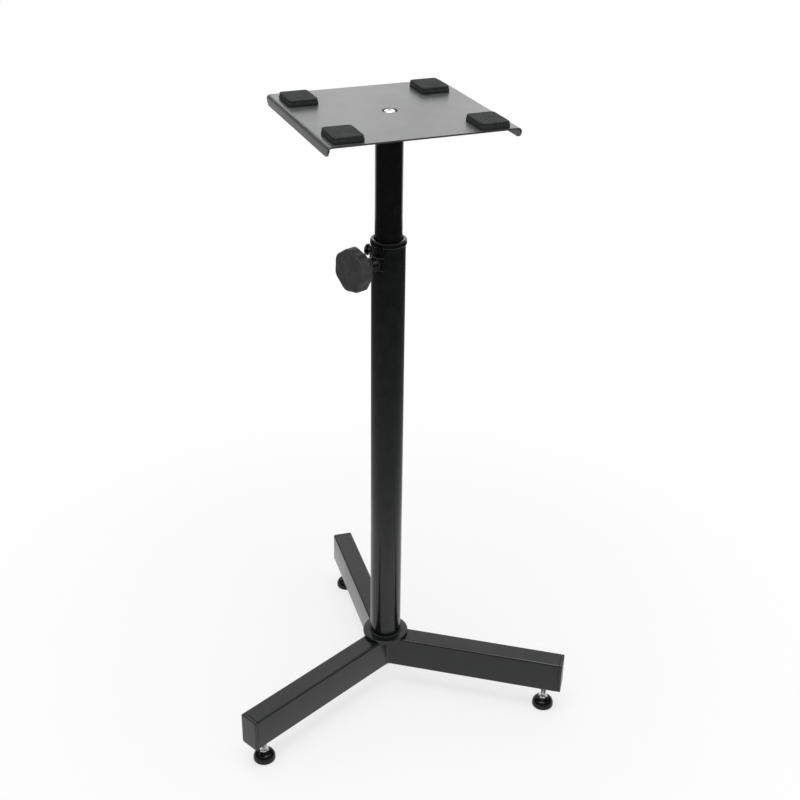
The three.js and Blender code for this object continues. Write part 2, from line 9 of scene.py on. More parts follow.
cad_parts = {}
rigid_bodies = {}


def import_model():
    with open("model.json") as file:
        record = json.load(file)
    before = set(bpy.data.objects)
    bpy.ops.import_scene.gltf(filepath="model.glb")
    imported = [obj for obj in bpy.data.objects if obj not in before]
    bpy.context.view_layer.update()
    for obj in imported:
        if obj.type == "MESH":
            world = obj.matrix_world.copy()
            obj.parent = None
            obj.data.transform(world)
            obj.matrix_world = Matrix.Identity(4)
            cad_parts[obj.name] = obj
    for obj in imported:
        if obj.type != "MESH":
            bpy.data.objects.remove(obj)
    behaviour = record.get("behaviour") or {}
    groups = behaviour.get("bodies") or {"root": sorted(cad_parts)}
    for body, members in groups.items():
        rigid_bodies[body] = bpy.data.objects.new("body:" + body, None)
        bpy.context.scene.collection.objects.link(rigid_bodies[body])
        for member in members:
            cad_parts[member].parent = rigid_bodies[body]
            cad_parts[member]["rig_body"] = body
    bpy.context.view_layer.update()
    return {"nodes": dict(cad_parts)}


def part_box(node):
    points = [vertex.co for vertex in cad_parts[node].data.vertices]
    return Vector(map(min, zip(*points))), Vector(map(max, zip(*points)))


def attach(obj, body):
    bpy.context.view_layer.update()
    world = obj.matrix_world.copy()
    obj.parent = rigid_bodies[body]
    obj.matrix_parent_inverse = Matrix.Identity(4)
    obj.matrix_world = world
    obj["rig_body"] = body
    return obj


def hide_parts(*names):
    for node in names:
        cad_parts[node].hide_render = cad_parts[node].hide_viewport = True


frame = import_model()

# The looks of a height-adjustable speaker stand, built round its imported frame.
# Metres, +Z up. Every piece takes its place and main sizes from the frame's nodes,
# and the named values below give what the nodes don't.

MM = 0.001
GAP = 0.3 * MM

# How finely forms are cut
FINE_STEPS = 128
ROUND_STEPS = 64
SMALL_STEPS = 48
ARC_STEPS = 8
SMALLEST_CORNER = 0.05 * MM
SAME_POINT = 0.001 * MM
NO_LENGTH = 0.0001 * MM

# Angles in degrees past which an edge is shaded sharp
SHARP = 34
SOFT_SHARP = 50
BEAD_SHARP = 80

# Legs and their end caps
LEG_AZIMUTHS = {"rear": 90, "front_left": 210, "front_right": 330}
LEG_CORNER = 3 * MM
LEG_WALL = 1.5 * MM
LEG_MITRE = math.radians(60)
LEG_EDGE = 0.3 * MM
LEG_POINTS = 13
CAP_ROUND = 1.3 * MM
CAP_CROWN = 0.2 * MM
CAP_CORNER_GROWTH = 0.6
CAP_FACE_SHARES = (0.12, 0.25, 0.45, 0.7, 0.95)
CAP_PLUG_DEPTH = 13 * MM
CAP_PLUG_WALL = 2 * MM

# Threads
THREAD_PITCH = 1.25 * MM
THREAD_DEPTH = 0.6 * MM
THREAD_HALF_GROOVE = 0.42
THREAD_END = 0.6 * MM
THREAD_POINT = 0.9 * MM

# Levelling feet
PAD_SOLE_INSET = 1.4 * MM
PAD_SOLE_HEIGHT = 1.6 * MM
PAD_SOLE_EASE = 0.4 * MM
PAD_RIM_HEIGHT = 4.2 * MM
PAD_RIM_EASE = 0.5 * MM
PAD_DOME_STEPS = 14
PAD_NECK = 6.6 * MM
PAD_MOUTH = 4.4 * MM
PAD_MOUTH_DEPTH = 2.5 * MM
PAD_MOUTH_EASE = 0.5 * MM
STUD_RADIUS = 3.8 * MM
STUD_CORE = 1.9 * MM
STUD_HEX_ACROSS = 12 * MM
STUD_HEX_HEIGHT = 4 * MM
STUD_HEX_EDGE = 0.6 * MM
STUD_CONE_HEIGHT = 3 * MM
INSERT_COLLAR = 1 * MM
INSERT_LIP = 2 * MM

# Hub, column and mast
HUB_HOLE = 5.3 * MM
FLANGE_EDGES = (0.4 * MM, 1.2 * MM)
WASHER_EDGES = (0.5 * MM, 0.2 * MM)
HUB_BOLT_EDGE = 1.1 * MM
HUB_BOLT_CORE_SHARE = 0.3
TUBE_WALL = 1.5 * MM
TUBE_EDGE = 0.35 * MM
RIM_HEIGHT = 8.6 * MM
RIM_ROUND = 2.6 * MM
RIM_STEPS = 10
RIM_FUNNEL = 1.4 * MM
RIM_FUNNEL_DEPTH = 5 * MM
RIM_FUNNEL_EASE = 0.5 * MM
HOLE_MARGIN = 0.7 * MM

# Welds
WELD_RIPPLE = 0.22 * MM
WELD_PITCH = 2.2 * MM
BEAD_SIDES = 12
COLUMN_BEAD = 1.3 * MM
COLUMN_BEAD_STEPS = 360
BOSS_BEAD = 1.4 * MM
BOSS_BEAD_STEPS = 200
SADDLE_BEAD = 1.2 * MM
FILLET_AZIMUTHS = {"front": 270, "right": 30, "left": 150}
FILLET_RADIUS = 9 * MM
FILLET_PROUD = 0.2 * MM
FILLET_RIPPLE = 0.1 * MM
FILLET_ROOT = 0.8 * MM
FILLET_SHORT = 1.4 * MM
FILLET_END = 5 * MM
FILLET_TIP_SHARE = 0.2
FILLET_LEVELS = 192
FILLET_STEPS = 12

# Clamp
SADDLE_CORNER = 3 * MM
SADDLE_THICKNESS = 1.8 * MM
SADDLE_POINTS = 25
SADDLE_RINGS = 8
BOSS_SKIRT = 1.2 * MM
BOSS_CHAMFER = 0.9 * MM
BOSS_EASE = 0.3 * MM
BOSS_BORE_CHAMFER = 0.5 * MM
KNOB_LOBES = 7
KNOB_LOBE_STEPS = 24
KNOB_TURN = math.radians(47.6)
KNOB_SCALLOP = 1.8 * MM
KNOB_BORE_DEPTH = 6 * MM
KNOB_HUB = 10.5 * MM
KNOB_HUB_EDGE = 0.6 * MM
KNOB_FLARE_STEPS = 12
KNOB_RIM_WIDTH = 15 * MM
KNOB_RIM_START = 1.2 * MM
KNOB_RIM_SHARES = (0.25, 0.5, 0.75)
KNOB_FACE_ROUND = 2.6 * MM
KNOB_FACE_STEPS = 10
KNOB_FACE_SHARES = (0.96, 0.88, 0.78, 0.66, 0.5, 0.3, 0.12)
KNOB_DISH = 0.8 * MM

# Steadying screw
SOCKET_ACROSS = 5 * MM
STEADY_SHAFT = 2.6 * MM
STEADY_EDGE = 0.3 * MM
STEADY_SIDE_SHARE = 0.45
STEADY_CROWN = 3.4 * MM
STEADY_DOME_STEPS = 10
STEADY_SOCKET_DEPTH = 2.5 * MM

# Platform and its bolt
PLATFORM_TURN = math.radians(5.4)
SHEET_THICKNESS = 2 * MM
SHEET_EDGE = 0.25 * MM
SHEET_EDGE_ANGLE = math.radians(40)
SHEET_DEEP_STEPS = 24
SHEET_WIDE_STEPS = 40
SHEET_RING_SHARES = (0.1, 0.3, 0.6, 1.0)
FOLD_RADIUS = 5 * MM
FOLD_CORNER = 9 * MM
FOLD_CORNER_STEPS = 8
FOLD_BEND_STEPS = 10
FOLD_DROP_STEPS = 4
DISH_LIP = 3 * MM
DISH_RADIUS = 10 * MM
DISH_FLOOR = 8.6 * MM
DISH_DEPTH = 3 * MM
DISH_HOLE = 4.2 * MM
DISH_EASES = (0.9 * MM, 0.8 * MM)
DISH_EASE_STEPS = 5
BOLT_HEAD = 3.6 * MM
BOLT_PLAIN = 5 * MM
BOLT_POINT = 0.7 * MM
BOLT_EDGE = 0.4 * MM
BOLT_SIDE = 1 * MM
BOLT_CROWN = 3.2 * MM
BOLT_DOME_STEPS = 12
BOLT_SOCKET_LIP = 0.2 * MM
BOLT_SOCKET_DEPTH = 2 * MM

# Rubber pads
RUBBER_CORNER = 4.5 * MM
RUBBER_CORNER_GROWTH = 0.5
RUBBER_SOLE = 0.4 * MM
RUBBER_STEP_HEIGHT = 3.8 * MM
RUBBER_STEP = 0.7 * MM
RUBBER_STEP_RISE = 0.3 * MM
RUBBER_EASES = (0.3 * MM, 0.25 * MM, 0.2 * MM)
RUBBER_ROUND = 1.1 * MM
RUBBER_FACE_SHARES = (0.15, 0.4, 0.7, 0.97)

# Inner pieces that keep their own solids
KEPT_EDGE = 0.15 * MM

# The photograph's camera
CAMERA_PLACE = (-0.4204, -1.5381, 1.3088)
CAMERA_HEADING = 16.544
CAMERA_PITCH = 28.185
CAMERA_ROLL = 0.778
CAMERA_LENS = 57.30
CAMERA_SENSOR = 36.0

# Floor and world. Near the stand the floor is only partly white of itself, so that
# it takes the shadow, and further off it is wholly white.
FLOOR_REACH = 14.0
FLOOR_COLOUR = (0.92, 0.92, 0.92, 1)
SHADE_NEAR = 0.30
SHADE_FAR = 1.0
SHADE_WHITE = 0.7
WORLD_LIGHT = 0.55

# A dark bowl round the stand and a wall on it, which only shiny surfaces see
BOWL_INNER = 0.45
BOWL_OUTER = 1.0
BOWL_TOP = 0.36
BOWL_LEVEL = 0.8
BOWL_FALL = 4.6
WALL_TOP = 0.9
WALL_LEVEL = 0.06
WALL_WHITE_AZIMUTH = math.radians(76)
WALL_DARK_FROM = math.radians(62)
WALL_WHITE_FROM = math.radians(42)
CARD_STEPS = 17


# Points and outlines

def arc(centre, radius, start, end, steps=ARC_STEPS):
    """Points of an arc in the plane, from one angle to another in degrees."""
    angles = np.radians(np.linspace(start, end, steps + 1))
    return [(centre[0] + radius * math.cos(a), centre[1] + radius * math.sin(a)) for a in angles]


def softened(points, radii, steps=4):
    """An open line of plane points, with its inner corners rounded to the given radii."""
    made = [tuple(points[0])]
    for before, corner, after, radius in zip(points, points[1:], points[2:], radii):
        if radius <= 0:
            made.append(tuple(corner))
            continue
        here = Vector(corner)
        into = (Vector(before) - here).normalized()
        out = (Vector(after) - here).normalized()
        half = into.angle(out) / 2
        reach = radius / math.tan(half)
        centre = here + (into + out).normalized() * (radius / math.sin(half))
        first = here + into * reach - centre
        last = here + out * reach - centre
        turn = math.atan2(first.x * last.y - first.y * last.x, first.dot(last))
        for i in range(steps + 1):
            made.append(tuple(centre + Matrix.Rotation(turn * i / steps, 2) @ first))
    made.append(tuple(points[-1]))
    return made


def rounded_outline(width, height, radius, inset=0.0, extra=0):
    """A rounded rectangle about the origin, anticlockwise. Its top and bottom may have extra points."""
    corner = max(radius - inset, SMALLEST_CORNER)
    x, y = width / 2 - inset - corner, height / 2 - inset - corner
    made = []
    for quarter, (cx, cy) in enumerate([(x, y), (-x, y), (-x, -y), (x, -y)]):
        made += arc((cx, cy), corner, quarter * 90, quarter * 90 + 90)
        if extra and quarter in (0, 2):
            side = 1 if quarter == 0 else -1
            spread = np.linspace(1, -1, extra + 2)[1:-1] * side
            made += [(share * x, cy + corner * side) for share in spread]
    return made


def hexagon(across):
    """The reach of a hexagon at an angle."""
    step = math.radians(60)
    return lambda angle: across / 2 / math.cos((angle + step / 2) % step - step / 2)


def blunt_hexagon(across, edge):
    """The reach of a hexagon whose corners are turned down by an edge."""
    six = hexagon(across)
    corner = across / 2 / math.cos(math.radians(30))
    return lambda angle: min(six(angle), corner - edge)


def circle(height, reach, steps):
    """A ring round +Z at a height. The reach is a number, or a function of the angle."""
    angles = [2 * math.pi * i / steps for i in range(steps)]
    reaches = [reach(a) if callable(reach) else reach for a in angles]
    return [(r * math.cos(a), r * math.sin(a), height) for a, r in zip(angles, reaches)]


# Meshes

def loft(rings, caps=True, loop=False):
    """Points and faces of a skin over rings that have the same count."""
    count = len(rings[0])
    points = [p for ring in rings for p in ring]
    faces = []
    for level in range(len(rings) if loop else len(rings) - 1):
        low, high = level * count, (level + 1) % len(rings) * count
        for i in range(count):
            j = (i + 1) % count
            faces.append((low + i, low + j, high + j, high + i))
    if caps and not loop:
        faces.append(tuple(reversed(range(count))))
        faces.append(tuple(range((len(rings) - 1) * count, len(rings) * count)))
    return points, faces


def turned(profile, steps=FINE_STEPS, loop=False):
    """A profile of (radius, height) points turned about +Z, open from axis to axis or closed on itself."""
    return loft([circle(h, r, steps) for r, h in profile], caps=not loop, loop=loop)


def joined(*parts):
    """Several skins as one."""
    points, faces = [], []
    for some_points, some_faces in parts:
        start = len(points)
        points += list(some_points)
        faces += [tuple(start + i for i in face) for face in some_faces]
    return points, faces


def moved(part, matrix):
    """A skin carried by a matrix."""
    return [tuple(matrix @ Vector(p)) for p in part[0]], part[1]


ALONG_X = Matrix.Rotation(math.radians(90), 4, "Y")


def mesh_object(name, part):
    """An object in the scene, from a skin."""
    mesh = bpy.data.meshes.new(name)
    mesh.from_pydata(part[0], [], part[1])
    made = bpy.data.objects.new(name, mesh)
    bpy.context.scene.collection.objects.link(made)
    return made


def clean(mesh):
    """Joins points that lie together, drops empty faces and turns all faces outwards."""
    work = bmesh.new()
    work.from_mesh(mesh)
    bmesh.ops.remove_doubles(work, verts=work.verts, dist=SAME_POINT)
    bmesh.ops.dissolve_degenerate(work, edges=work.edges, dist=NO_LENGTH)
    bmesh.ops.recalc_face_normals(work, faces=work.faces)
    work.to_mesh(mesh)
    work.free()


def solid(name, part, matrix, material, body, sharp=SHARP):
    """A piece of the stand, which rides on a body and takes the finish it is given."""
    made = mesh_object(name, moved(part, matrix))
    clean(made.data)
    made.data.shade_smooth()
    made.data.set_sharp_from_angle(angle=math.radians(sharp))
    made.data.materials.append(material)
    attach(made, body)
    return made


def body_of(node):
    """The body that a node rides on."""
    return frame["nodes"][node]["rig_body"]


def dress(node, part, matrix, material, sharp=SHARP):
    """A finer piece that stands for a node and rides on the node's body."""
    made = solid(f"fine_{node}", part, matrix, material, body_of(node), sharp)
    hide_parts(node)
    return made


def faces_along(made, direction):
    """Turns an open skin so that the face furthest along a direction looks that way."""
    last = max(made.data.polygons, key=lambda p: p.center.dot(direction))
    if last.normal.dot(direction) < 0:
        made.data.flip_normals()


def thicken(made, thickness):
    """Gives a skin its thickness, on its inner side, and eases its edges."""
    shell = made.modifiers.new("thickness", "SOLIDIFY")
    shell.thickness = thickness
    shell.offset = -1
    shell.use_even_offset = True
    ease = made.modifiers.new("edges", "BEVEL")
    ease.width = SHEET_EDGE
    ease.segments = 2
    ease.limit_method = "ANGLE"
    ease.angle_limit = SHEET_EDGE_ANGLE
    ease.harden_normals = True


# Frames of the fittings

column_low, column_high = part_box("column_tube")
AXIS = (column_low + column_high) / 2
COLUMN_RADIUS = column_high.x - AXIS.x


def placed(azimuth=0.0, height=0.0):
    """A frame on the column's axis, with +X pointing out at an azimuth in radians."""
    return Matrix.Translation((AXIS.x, AXIS.y, height)) @ Matrix.Rotation(azimuth, 4, "Z")


def fitting_frame(node):
    """The frame of a fitting whose straight axis runs out from the column's axis."""
    low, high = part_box(node)
    middle = (low + high) / 2 - AXIS
    return placed(math.atan2(middle.y, middle.x), (low.z + high.z) / 2)


def extent(node, matrix):
    """Lowest and highest corner of a node in a frame."""
    inverse = matrix.inverted()
    points = np.array([inverse @ v.co for v in frame["nodes"][node].data.vertices])
    return Vector(points.min(0)), Vector(points.max(0))


UPRIGHT = placed()
CLAMP = fitting_frame("clamp_screw")
STEADY = fitting_frame("steady_screw")
PLATFORM = placed(PLATFORM_TURN, extent("platform", UPRIGHT)[1].z)

CLAMP_BORE = extent("clamp_screw", CLAMP)[1].z + GAP
SHOE_HOLE = extent("clamp_shoe", CLAMP)[1].y + GAP
STEADY_HOLE = STEADY_SHAFT + GAP
RADIAL_HOLES = ((CLAMP, SHOE_HOLE), (STEADY, STEADY_HOLE))


# Materials

class Nodes:
    """A short way to make the nodes of a material or a world, and join them."""

    def __init__(self, owner):
        owner.use_nodes = True
        self.owner = owner
        self.tree = owner.node_tree
        self.places = self.add("ShaderNodeTexCoord").outputs["Object"]

    def add(self, kind, **settings):
        node = self.tree.nodes.new(kind)
        for key, value in settings.items():
            setattr(node, key, value)
        return node

    def join(self, source, target):
        self.tree.links.new(source, target)

    def stretched(self, scale):
        """Places scaled along the three axes."""
        mapping = self.add("ShaderNodeMapping")
        mapping.inputs["Scale"].default_value = scale
        self.join(self.places, mapping.inputs["Vector"])
        return mapping.outputs["Vector"]

    def noise(self, scale, detail, roughness=0.5, places=None):
        node = self.add("ShaderNodeTexNoise")
        node.inputs["Scale"].default_value = scale
        node.inputs["Detail"].default_value = detail
        node.inputs["Roughness"].default_value = roughness
        self.join(places or self.places, node.inputs["Vector"])
        return node.outputs["Fac"]

    def ramp(self, source, low, high, start=0.0, end=1.0):
        """A number that goes from start to end while the source goes from low to high."""
        node = self.add("ShaderNodeMapRange")
        node.interpolation_type = "SMOOTHSTEP"
        node.inputs["From Min"].default_value = low
        node.inputs["From Max"].default_value = high
        node.inputs["To Min"].default_value = start
        node.inputs["To Max"].default_value = end
        self.join(source, node.inputs["Value"])
        return node.outputs["Result"]

    def maths(self, operation, first, second):
        node = self.add("ShaderNodeMath", operation=operation)
        for socket, value in zip(node.inputs, (first, second)):
            if isinstance(value, (int, float)):
                socket.default_value = value
            else:
                self.join(value, socket)
        return node.outputs[0]

    def measured(self, operation, source, against=None):
        """The outputs of a vector operation on a source and, where one is given, a constant."""
        node = self.add("ShaderNodeVectorMath", operation=operation)
        self.join(source, node.inputs[0])
        if against:
            node.inputs[1].default_value = against
        return node.outputs

    def blended(self, fac, low, high):
        """A colour between two, by a number."""
        node = self.add("ShaderNodeMix", data_type="RGBA")
        self.join(fac, node.inputs["Factor"])
        for name, value in (("A", low), ("B", high)):
            socket = next(s for s in node.inputs if s.name == name and s.type == "RGBA")
            if isinstance(value, tuple):
                socket.default_value = (*value, 1.0)
            else:
                self.join(value, socket)
        return next(s for s in node.outputs if s.type == "RGBA")

    def bump(self, height, distance):
        node = self.add("ShaderNodeBump")
        node.inputs["Distance"].default_value = distance
        self.join(height, node.inputs["Height"])
        return node.outputs["Normal"]

    def seen(self):
        """One where the camera, a shiny surface or glass looks, and otherwise zero."""
        rays = self.add("ShaderNodeLightPath").outputs
        found = self.maths("MAXIMUM", rays["Is Camera Ray"], rays["Is Glossy Ray"])
        return self.maths("MAXIMUM", found, rays["Is Transmission Ray"])

    def surface(self, source):
        self.join(source, self.tree.nodes["Material Output"].inputs["Surface"])

    def finish(self, colour=None, roughness=None, normal=None, **plain):
        """Joins the sources to the main shader and sets its plain values."""
        shader = self.tree.nodes["Principled BSDF"]
        for name, source in (("Base Color", colour), ("Roughness", roughness), ("Normal", normal)):
            if source is not None:
                self.join(source, shader.inputs[name])
        for name, value in plain.items():
            shader.inputs[name.replace("_", " ")].default_value = value
        return self.owner


def material_nodes(name):
    """The nodes of a new material."""
    return Nodes(bpy.data.materials.new(name))


def coat(name, dark, light, smooth, rough, peel, dust, index=1.46):
    """Dark coat on steel: orange peel, slow changes of gloss, and a trace of dust."""
    n = material_nodes(name)
    cloud = n.noise(scale=90.0, detail=5.0, roughness=0.6)
    colour = n.blended(n.ramp(cloud, low=0.35, high=0.7), dark, light)
    specks = n.ramp(n.noise(scale=1900.0, detail=2.0, roughness=0.4), low=0.72, high=0.8, end=dust)
    dusty = n.blended(specks, colour, (0.16, 0.16, 0.155))
    gloss = n.ramp(n.noise(scale=14.0, detail=4.0), low=0.3, high=0.7, start=smooth, end=rough)
    gloss = n.maths("ADD", gloss, n.ramp(cloud, low=0.4, high=0.75, end=0.04))
    peeled = n.bump(n.noise(scale=420.0, detail=2.0, roughness=0.45), peel)
    return n.finish(dusty, gloss, peeled, IOR=index)


def plastic(name, dark, light, smooth, rough, grain_scale, grain, shine=0.5):
    """Moulded plastic or rubber: a fine grain, mottled a little, and paler on its sharp edges, which is a
    painted edge highlight.
    """
    n = material_nodes(name)
    mottle = n.noise(scale=120.0, detail=5.0, roughness=0.6)
    colour = n.blended(n.ramp(mottle, low=0.3, high=0.72), dark, light)
    # Painted highlight: sharp outer edges are made paler in the colour, to stand for light catching them.
    edges = n.add("ShaderNodeNewGeometry").outputs["Pointiness"]
    painted_edge_highlight = tuple(min(1.0, 2.2 * c) for c in light)
    colour = n.blended(n.ramp(edges, low=0.53, high=0.62, end=0.5), colour, painted_edge_highlight)
    gloss = n.ramp(n.noise(scale=40.0, detail=4.0), low=0.3, high=0.7, start=smooth, end=rough)
    grained = n.bump(n.noise(scale=grain_scale, detail=3.0, roughness=0.6), grain)
    return n.finish(colour, gloss, grained, IOR=1.45, Specular_IOR_Level=shine)


def metal(name, dark, light, smooth, rough):
    """Plated metal: faint turning marks, and a cloudy tone."""
    n = material_nodes(name)
    cloud = n.noise(scale=160.0, detail=4.0, roughness=0.6)
    colour = n.blended(n.ramp(cloud, low=0.3, high=0.7), dark, light)
    marks = n.noise(scale=1.0, detail=3.0, places=n.stretched((300.0, 300.0, 2600.0)))
    gloss = n.ramp(marks, low=0.3, high=0.7, start=smooth, end=rough)
    return n.finish(colour, gloss, n.bump(marks, 0.012 * MM), Metallic=1.0)


POWDER = coat(
    "powder_coat", dark=(0.0050, 0.0058, 0.0058), light=(0.0090, 0.0102, 0.0100),
    smooth=0.15, rough=0.22, peel=0.014 * MM, dust=0.3,
)
GLOSS = coat(
    "gloss_coat", dark=(0.0030, 0.0034, 0.0038), light=(0.0058, 0.0062, 0.0068),
    smooth=0.12, rough=0.18, peel=0.008 * MM, dust=0.2,
)
# Painted sheen: the sheet's coat is black like the others. Its far lighter dark grey base colour stands in
# for the sheen of that coat.
SHEET_WITH_PAINTED_SHEEN = coat(
    "sheet_coat_painted_sheen", dark=(0.042, 0.044, 0.044), light=(0.056, 0.058, 0.0575),
    smooth=0.33, rough=0.37, peel=0.002 * MM, dust=0.1, index=1.56,
)
CAP = plastic(
    "cap_plastic", dark=(0.012, 0.013, 0.013), light=(0.020, 0.021, 0.021),
    smooth=0.26, rough=0.36, grain_scale=2400.0, grain=0.008 * MM,
)
KNOB = plastic(
    "knob_plastic", dark=(0.036, 0.036, 0.037), light=(0.054, 0.054, 0.054),
    smooth=0.46, rough=0.60, grain_scale=2600.0, grain=0.030 * MM,
)
SHINE = plastic(
    "gloss_plastic", dark=(0.004, 0.004, 0.0045), light=(0.007, 0.007, 0.0075),
    smooth=0.08, rough=0.16, grain_scale=900.0, grain=0.003 * MM, shine=0.32,
)
RUBBER = plastic(
    "rubber", dark=(0.019, 0.021, 0.021), light=(0.029, 0.032, 0.031),
    smooth=0.80, rough=0.92, grain_scale=1700.0, grain=0.040 * MM, shine=0.15,
)
ZINC = metal("zinc_steel", dark=(0.66, 0.67, 0.68), light=(0.82, 0.82, 0.80), smooth=0.16, rough=0.30)
BRASS = metal("brass", dark=(0.48, 0.36, 0.16), light=(0.62, 0.48, 0.24), smooth=0.25, rough=0.40)


# Legs, caps and feet

def leg(side):
    """A rectangular tube, mitred against its two neighbours on the column's axis."""
    node = f"leg_{side}"
    matrix = placed(math.radians(LEG_AZIMUTHS[side]))
    low, high = extent(node, matrix)
    width, height = high.y - low.y, high.z - low.z
    middle = (high.z + low.z) / 2

    def start(y):
        """Where the tube starts: at its mitre, or at the hub bolt's hole."""
        mitre = GAP / 2 / math.sin(LEG_MITRE) + abs(y) / math.tan(LEG_MITRE)
        return max(mitre, math.sqrt(max(HUB_HOLE**2 - y**2, 0.0)))

    def ring(x, inset):
        outline = rounded_outline(width, height, LEG_CORNER, inset, LEG_POINTS)
        return [(start(y) if x is None else x, y, z + middle) for y, z in outline]

    rings = [
        ring(None, 0),
        ring(high.x - LEG_EDGE, 0),
        ring(high.x, LEG_EDGE),
        ring(high.x, LEG_WALL),
        ring(None, LEG_WALL),
    ]
    dress(node, loft(rings, loop=True), matrix, POWDER)


def end_cap(side):
    """A moulded cap: a rounded, slightly crowned face on a lip, with a hollow plug behind it."""
    node = f"end_cap_{side}"
    matrix = placed(math.radians(LEG_AZIMUTHS[side]))
    low, high = extent(node, matrix)
    width, height = high.y - low.y, high.z - low.z
    middle = (high.z + low.z) / 2
    back = extent(f"leg_{side}", matrix)[1].x + GAP
    shoulder = high.x - CAP_CROWN - CAP_ROUND
    plug = LEG_WALL + GAP
    path = [
        (back, plug + CAP_PLUG_WALL),
        (back - CAP_PLUG_DEPTH, plug + CAP_PLUG_WALL),
        (back - CAP_PLUG_DEPTH, plug),
        (back, plug),
        (back, GAP),
        (back + GAP, 0.0),
    ]
    path += [(shoulder + across, CAP_ROUND - rise) for rise, across in arc((0, 0), CAP_ROUND, 0, 90)]
    for share in CAP_FACE_SHARES:
        inset = CAP_ROUND + (width / 2 - CAP_ROUND) * share
        path.append((high.x - CAP_CROWN * (1 - share) ** 2, inset))
    rings = []
    for x, inset in path:
        outline = rounded_outline(width, height, LEG_CORNER + CAP_CORNER_GROWTH * inset, inset)
        rings.append([(x, y, z + middle) for y, z in outline])
    dress(node, loft(rings), matrix, CAP)


def threaded(radius, low, high, per_turn=8):
    """Rings of a right-hand thread, faded out at both ends."""
    count = max(2, round((high - low) / THREAD_PITCH * per_turn))
    rings = []
    for level in range(count + 1):
        height = low + (high - low) * level / count
        fade = min(1.0, level / per_turn, (count - level) / per_turn)

        def reach(angle, height=height, fade=fade):
            phase = ((height - low) / THREAD_PITCH - angle / (2 * math.pi)) % 1.0
            groove = max(0.0, 1 - abs(phase - 0.5) / THREAD_HALF_GROOVE)
            return radius - THREAD_DEPTH * groove * fade

        rings.append(circle(height, reach, SMALL_STEPS))
    return rings


def foot_pad(node, matrix):
    """A dome on a narrower sole, with a mouth in its top for the stud."""
    high = extent(node, matrix)[1]
    radius = max(high.x, high.y)
    rise = high.z - PAD_RIM_HEIGHT
    dome = [
        (PAD_NECK + (radius - PAD_NECK) * x, PAD_RIM_HEIGHT + rise * z)
        for x, z in arc((0, 0), 1, 0, 90, PAD_DOME_STEPS)
    ]
    sole = [(0, 0), (radius - PAD_SOLE_INSET, 0), (radius, PAD_SOLE_HEIGHT), dome[0]]
    bottom = high.z - PAD_MOUTH_DEPTH
    mouth = [dome[-1], (PAD_MOUTH, high.z), (PAD_MOUTH, bottom), (0, bottom)]
    profile = softened(sole, [PAD_SOLE_EASE, PAD_RIM_EASE])[:-1]
    profile += dome[:-1]
    profile += softened(mouth, [PAD_MOUTH_EASE, 0])
    dress(node, turned(profile, ROUND_STEPS), matrix, SHINE)


def foot_stud(node, matrix, pad_top):
    """A threaded stud, with a hexagon collar just above its pad."""
    top = extent(node, matrix)[1].z
    low = pad_top + GAP
    high = low + STUD_HEX_HEIGHT
    foot_end = low - PAD_MOUTH_DEPTH
    six = hexagon(STUD_HEX_ACROSS)
    blunt = blunt_hexagon(STUD_HEX_ACROSS, STUD_HEX_EDGE)
    rings = [
        circle(foot_end, STUD_CORE, SMALL_STEPS),
        circle(foot_end, STUD_RADIUS, SMALL_STEPS),
        circle(low, STUD_RADIUS, SMALL_STEPS),
        circle(low, blunt, SMALL_STEPS),
        circle(low + STUD_HEX_EDGE / 2, six, SMALL_STEPS),
        circle(high - STUD_HEX_EDGE / 2, six, SMALL_STEPS),
        circle(high, blunt, SMALL_STEPS),
    ]
    rings += threaded(STUD_RADIUS, high + STUD_CONE_HEIGHT, top - THREAD_END)
    rings.append(circle(top, STUD_RADIUS - THREAD_POINT, SMALL_STEPS))
    dress(node, loft(rings), matrix, ZINC)


def foot_insert(node, matrix):
    """The threaded insert in a leg's underside: a shank on a wider collar."""
    low, high = extent(node, matrix)
    bore = STUD_RADIUS + GAP
    collar = high.x
    shank = collar - INSERT_LIP
    step = low.z + INSERT_COLLAR
    profile = [
        (bore, low.z),
        (collar - GAP, low.z),
        (collar, low.z + GAP),
        (collar, step),
        (shank, step),
        (shank, high.z),
        (bore, high.z),
    ]
    dress(node, turned(profile, SMALL_STEPS, loop=True), matrix, ZINC)


def foot(side):
    """A levelling foot: its pad, its stud and the insert that takes the stud."""
    stud, pad, insert = (f"foot_{part}_{side}" for part in ("stud", "pad", "insert"))
    low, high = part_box(stud)
    centre = (low + high) / 2
    matrix = Matrix.Translation((centre.x, centre.y, 0))
    foot_pad(pad, matrix)
    foot_stud(stud, matrix, extent(pad, matrix)[1].z)
    foot_insert(insert, matrix)


# Hub, column and welds

def bead(name, node, path, normal_of, radius, closed=True):
    """A weld bead along a path, with the ripples that a weld leaves."""
    count = len(path)
    run = 0.0
    rings = []
    for i, point in enumerate(path):
        here = Vector(point)
        after = path[(i + 1) % count] if closed or i + 1 < count else point
        before = path[i - 1] if closed or i else point
        along = (Vector(after) - Vector(before)).normalized()
        side = along.cross(Vector(normal_of(point)).normalized()).normalized()
        out = side.cross(along)
        run += (here - Vector(before)).length if i else 0.0
        swell = radius + WELD_RIPPLE * math.sin(2 * math.pi * run / WELD_PITCH)
        angles = [2 * math.pi * k / BEAD_SIDES for k in range(BEAD_SIDES)]
        rings.append([tuple(here + (out * math.cos(a) + side * math.sin(a)) * swell) for a in angles])
    part = loft(rings, loop=closed)
    solid(name, part, Matrix.Identity(4), POWDER, body_of(node), BEAD_SHARP)


def flat_ring(node, edges, material):
    """A flat ring round the hub bolt, with its lower and upper outer edges eased."""
    low, high = extent(node, UPRIGHT)
    corners = [(HUB_HOLE, low.z), (high.x, low.z), (high.x, high.z), (HUB_HOLE, high.z)]
    dress(node, turned(softened(corners, edges), loop=True), UPRIGHT, material)


